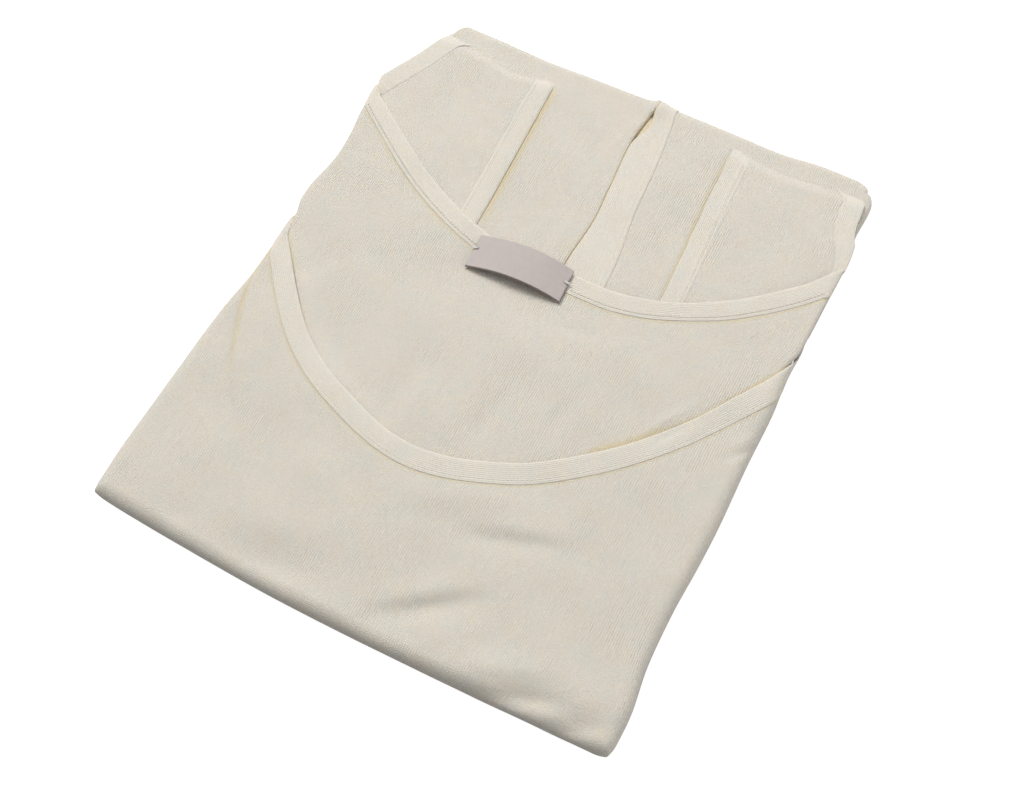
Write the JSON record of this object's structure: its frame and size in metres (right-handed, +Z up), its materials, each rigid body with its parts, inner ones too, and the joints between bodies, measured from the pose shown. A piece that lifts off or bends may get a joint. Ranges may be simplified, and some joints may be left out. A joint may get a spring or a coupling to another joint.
{
  "type": "folded tank top",
  "caption": "Sleeveless scoop-neck jersey tank top, folded flat with its neckline and label on top.",
  "frame": {"origin": "on the surface it lies on, under the middle of the folded garment", "axes": "+X across the fold, +Y along it towards the folded shoulders, +Z up"},
  "size_m": [0.2435, 0.3003, 0.0161],
  "materials": {
    "jersey": "fine cream jersey, matt with a soft nap",
    "binding": "cream jersey binding, folded double and topstitched",
    "folded_layers": "edges of the folded cream jersey",
    "woven_label": "grey-mauve woven satin, plain"
  },
  "bodies": {
    "root": {"hidden_layers": "folded_layers", "left_side_flap": "jersey", "right_side_flap": "jersey", "centre_band": "binding", "left_strap": "jersey", "right_strap": "jersey", "left_armhole_band": "binding", "right_armhole_band": "binding", "left_strap_neck_band": "binding", "right_strap_neck_band": "binding", "back_panel": "jersey", "back_neck_band": "binding", "label": "woven_label", "front_panel": "jersey", "front_neck_band": "binding"}
  },
  "joints": []
}
